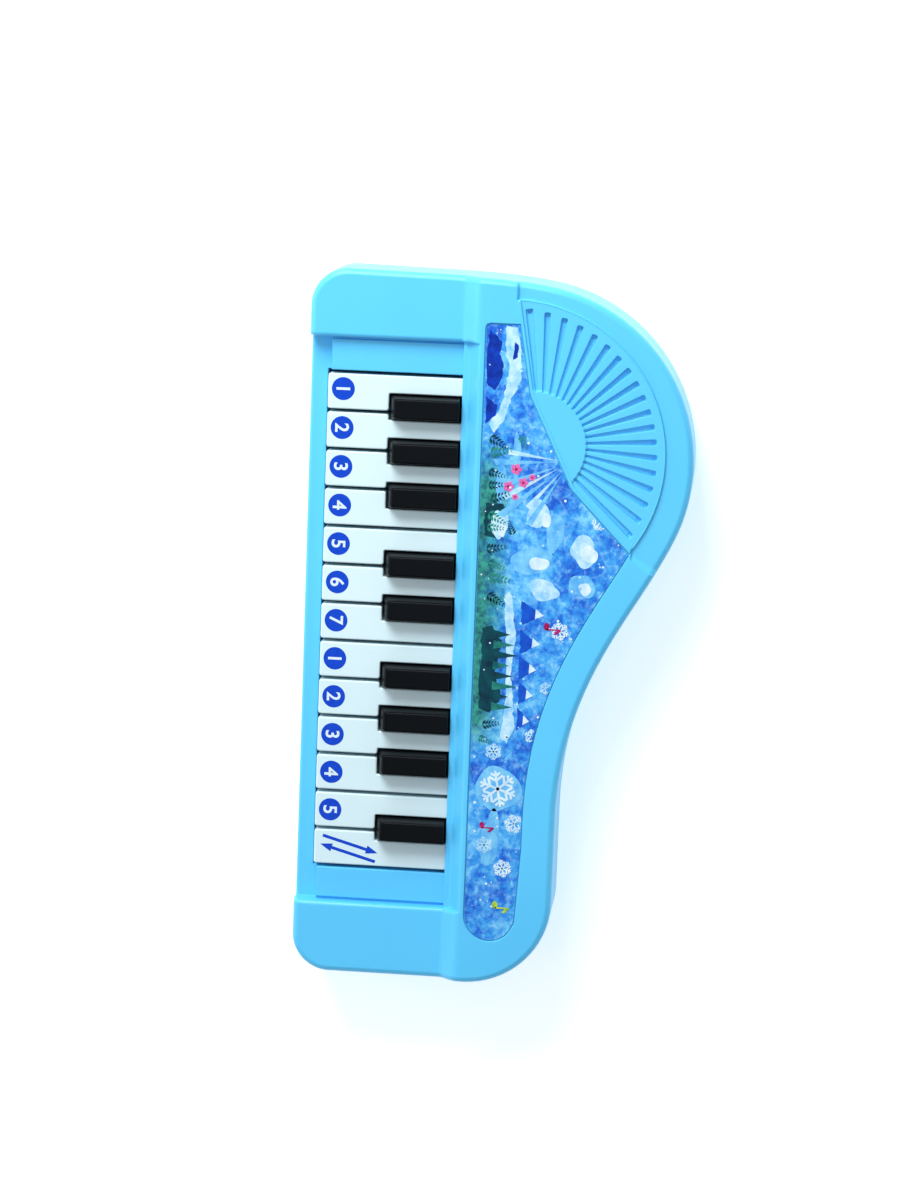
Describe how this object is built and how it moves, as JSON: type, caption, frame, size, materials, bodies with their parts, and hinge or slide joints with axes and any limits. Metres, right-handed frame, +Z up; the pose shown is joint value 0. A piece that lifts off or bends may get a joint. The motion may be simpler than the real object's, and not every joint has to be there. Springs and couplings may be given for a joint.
{
  "type": "toy electronic keyboard",
  "caption": "Toy electronic keyboard in the outline of a small grand piano, with sprung white and black keys, a printed label and a fan-shaped speaker grille.",
  "frame": {"origin": "centre of the footprint of the whole toy, on the surface that its feet rest on", "axes": "+X along the keys to the player's right, +Y from the player to the rear, +Z up"},
  "size_m": [0.246, 0.1322, 0.034],
  "materials": {
    "case_plastic": "light blue moulded ABS, satin gloss",
    "label_film": "printed film with a clear gloss, icy blues",
    "white_plastic": "white moulded ABS, satin gloss",
    "black_plastic": "black moulded ABS, satin",
    "rubber": "silicone rubber, translucent white",
    "board_laminate": "paper phenolic laminate with printed tracks",
    "epoxy": "black potting epoxy",
    "zinc_steel": "zinc plated pressed steel",
    "cone_paper": "black pressed paper",
    "ferrite": "sintered ferrite, grey black",
    "red_sleeve": "red PVC wire sleeve",
    "black_sleeve": "black PVC wire sleeve",
    "cell_sleeve": null,
    "contact_steel": "nickel plated spring steel",
    "screw_steel": "zinc plated steel"
  },
  "bodies": {
    "case": {"top_case": "case_plastic", "bottom_case": "case_plastic", "label_sheet": "label_film", "white_key_rail": "white_plastic", "black_key_rail": "black_plastic", "contact_strip": "rubber", "circuit_board": "board_laminate", "sound_chip": "epoxy", "capacitor": "cell_sleeve", "speaker_basket": "zinc_steel", "speaker_cone": "cone_paper", "speaker_magnet": "ferrite", "speaker_wire_red": "red_sleeve", "speaker_wire_black": "black_sleeve", "battery_1": "cell_sleeve", "battery_2": "cell_sleeve", "battery_contact_minus": "contact_steel", "battery_contact_plus": "contact_steel", "battery_contact_link": "contact_steel", "battery_spring_1": "contact_steel", "battery_spring_2": "contact_steel", "battery_wire_black": "black_sleeve", "battery_wire_red": "red_sleeve", "case_screw_1": "screw_steel", "case_screw_2": "screw_steel", "case_screw_3": "screw_steel", "case_screw_4": "screw_steel", "case_screw_5": "screw_steel", "case_screw_6": "screw_steel", "rail_screw_1": "screw_steel", "rail_screw_2": "screw_steel", "rail_screw_3": "screw_steel", "rail_screw_4": "screw_steel", "board_screw_1": "screw_steel", "board_screw_2": "screw_steel"},
    "white_key_1": {"white_key_1": "white_plastic"},
    "white_key_2": {"white_key_2": "white_plastic"},
    "white_key_3": {"white_key_3": "white_plastic"},
    "white_key_4": {"white_key_4": "white_plastic"},
    "white_key_5": {"white_key_5": "white_plastic"},
    "white_key_6": {"white_key_6": "white_plastic"},
    "white_key_7": {"white_key_7": "white_plastic"},
    "white_key_8": {"white_key_8": "white_plastic"},
    "white_key_9": {"white_key_9": "white_plastic"},
    "white_key_10": {"white_key_10": "white_plastic"},
    "white_key_11": {"white_key_11": "white_plastic"},
    "white_key_12": {"white_key_12": "white_plastic"},
    "white_key_13": {"white_key_13": "white_plastic"},
    "black_key_1": {"black_key_1": "black_plastic"},
    "black_key_2": {"black_key_2": "black_plastic"},
    "black_key_3": {"black_key_3": "black_plastic"},
    "black_key_4": {"black_key_4": "black_plastic"},
    "black_key_5": {"black_key_5": "black_plastic"},
    "black_key_6": {"black_key_6": "black_plastic"},
    "black_key_7": {"black_key_7": "black_plastic"},
    "black_key_8": {"black_key_8": "black_plastic"},
    "black_key_9": {"black_key_9": "black_plastic"},
    "battery_door": {"battery_door": "case_plastic", "battery_door_screw": "screw_steel"}
  },
  "joints": [
    {"name": "white_key_1_press", "type": "hinge", "parent": "case", "child": "white_key_1", "pos_m": [-0.08367, -0.00875, 0.0214], "axis": [1, 0, 0], "range_deg": [0, 3.37], "stiffness_Nm_per_rad": 0.15, "springref_deg": -6.88},
    {"name": "white_key_2_press", "type": "hinge", "parent": "case", "child": "white_key_2", "pos_m": [-0.06838, -0.00875, 0.0214], "axis": [1, 0, 0], "range_deg": [0, 3.37], "stiffness_Nm_per_rad": 0.15, "springref_deg": -6.88},
    {"name": "white_key_3_press", "type": "hinge", "parent": "case", "child": "white_key_3", "pos_m": [-0.05312, -0.00875, 0.0214], "axis": [1, 0, 0], "range_deg": [0, 3.37], "stiffness_Nm_per_rad": 0.15, "springref_deg": -6.88},
    {"name": "white_key_4_press", "type": "hinge", "parent": "case", "child": "white_key_4", "pos_m": [-0.03782, -0.00875, 0.0214], "axis": [1, 0, 0], "range_deg": [0, 3.37], "stiffness_Nm_per_rad": 0.15, "springref_deg": -6.88},
    {"name": "white_key_5_press", "type": "hinge", "parent": "case", "child": "white_key_5", "pos_m": [-0.03002, -0.00875, 0.0214], "axis": [1, 0, 0], "range_deg": [0, 3.37], "stiffness_Nm_per_rad": 0.15, "springref_deg": -6.88},
    {"name": "white_key_6_press", "type": "hinge", "parent": "case", "child": "white_key_6", "pos_m": [-0.0142, -0.00875, 0.0214], "axis": [1, 0, 0], "range_deg": [0, 3.37], "stiffness_Nm_per_rad": 0.15, "springref_deg": -6.88},
    {"name": "white_key_7_press", "type": "hinge", "parent": "case", "child": "white_key_7", "pos_m": [0.00162, -0.00875, 0.0214], "axis": [1, 0, 0], "range_deg": [0, 3.37], "stiffness_Nm_per_rad": 0.15, "springref_deg": -6.88},
    {"name": "white_key_8_press", "type": "hinge", "parent": "case", "child": "white_key_8", "pos_m": [0.00942, -0.00875, 0.0214], "axis": [1, 0, 0], "range_deg": [0, 3.37], "stiffness_Nm_per_rad": 0.15, "springref_deg": -6.88},
    {"name": "white_key_9_press", "type": "hinge", "parent": "case", "child": "white_key_9", "pos_m": [0.02473, -0.00875, 0.0214], "axis": [1, 0, 0], "range_deg": [0, 3.37], "stiffness_Nm_per_rad": 0.15, "springref_deg": -6.88},
    {"name": "white_key_10_press", "type": "hinge", "parent": "case", "child": "white_key_10", "pos_m": [0.03997, -0.00875, 0.0214], "axis": [1, 0, 0], "range_deg": [0, 3.37], "stiffness_Nm_per_rad": 0.15, "springref_deg": -6.88},
    {"name": "white_key_11_press", "type": "hinge", "parent": "case", "child": "white_key_11", "pos_m": [0.05527, -0.00875, 0.0214], "axis": [1, 0, 0], "range_deg": [0, 3.37], "stiffness_Nm_per_rad": 0.15, "springref_deg": -6.88},
    {"name": "white_key_12_press", "type": "hinge", "parent": "case", "child": "white_key_12", "pos_m": [0.06308, -0.00875, 0.0214], "axis": [1, 0, 0], "range_deg": [0, 3.37], "stiffness_Nm_per_rad": 0.15, "springref_deg": -6.88},
    {"name": "white_key_13_press", "type": "hinge", "parent": "case", "child": "white_key_13", "pos_m": [0.08038, -0.00875, 0.0214], "axis": [1, 0, 0], "range_deg": [0, 3.37], "stiffness_Nm_per_rad": 0.15, "springref_deg": -6.88},
    {"name": "black_key_1_press", "type": "hinge", "parent": "case", "child": "black_key_1", "pos_m": [-0.076, -0.00875, 0.0244], "axis": [1, 0, 0], "range_deg": [0, 4.88], "stiffness_Nm_per_rad": 0.15, "springref_deg": -6.88},
    {"name": "black_key_2_press", "type": "hinge", "parent": "case", "child": "black_key_2", "pos_m": [-0.06075, -0.00875, 0.0244], "axis": [1, 0, 0], "range_deg": [0, 4.88], "stiffness_Nm_per_rad": 0.15, "springref_deg": -6.88},
    {"name": "black_key_3_press", "type": "hinge", "parent": "case", "child": "black_key_3", "pos_m": [-0.0455, -0.00875, 0.0244], "axis": [1, 0, 0], "range_deg": [0, 4.88], "stiffness_Nm_per_rad": 0.15, "springref_deg": -6.88},
    {"name": "black_key_4_press", "type": "hinge", "parent": "case", "child": "black_key_4", "pos_m": [-0.0219, -0.00875, 0.0244], "axis": [1, 0, 0], "range_deg": [0, 4.88], "stiffness_Nm_per_rad": 0.15, "springref_deg": -6.88},
    {"name": "black_key_5_press", "type": "hinge", "parent": "case", "child": "black_key_5", "pos_m": [-0.0065, -0.00875, 0.0244], "axis": [1, 0, 0], "range_deg": [0, 4.88], "stiffness_Nm_per_rad": 0.15, "springref_deg": -6.88},
    {"name": "black_key_6_press", "type": "hinge", "parent": "case", "child": "black_key_6", "pos_m": [0.0171, -0.00875, 0.0244], "axis": [1, 0, 0], "range_deg": [0, 4.88], "stiffness_Nm_per_rad": 0.15, "springref_deg": -6.88},
    {"name": "black_key_7_press", "type": "hinge", "parent": "case", "child": "black_key_7", "pos_m": [0.03235, -0.00875, 0.0244], "axis": [1, 0, 0], "range_deg": [0, 4.88], "stiffness_Nm_per_rad": 0.15, "springref_deg": -6.88},
    {"name": "black_key_8_press", "type": "hinge", "parent": "case", "child": "black_key_8", "pos_m": [0.0476, -0.00875, 0.0244], "axis": [1, 0, 0], "range_deg": [0, 4.88], "stiffness_Nm_per_rad": 0.15, "springref_deg": -6.88},
    {"name": "black_key_9_press", "type": "hinge", "parent": "case", "child": "black_key_9", "pos_m": [0.0712, -0.00875, 0.0244], "axis": [1, 0, 0], "range_deg": [0, 4.88], "stiffness_Nm_per_rad": 0.15, "springref_deg": -6.88},
    {"name": "battery_door_tilt", "type": "hinge", "parent": "case", "child": "battery_door", "pos_m": [0.01565, 0.014, 0.0026], "axis": [0, -1, 0], "range_deg": [0, 35]}
  ]
}
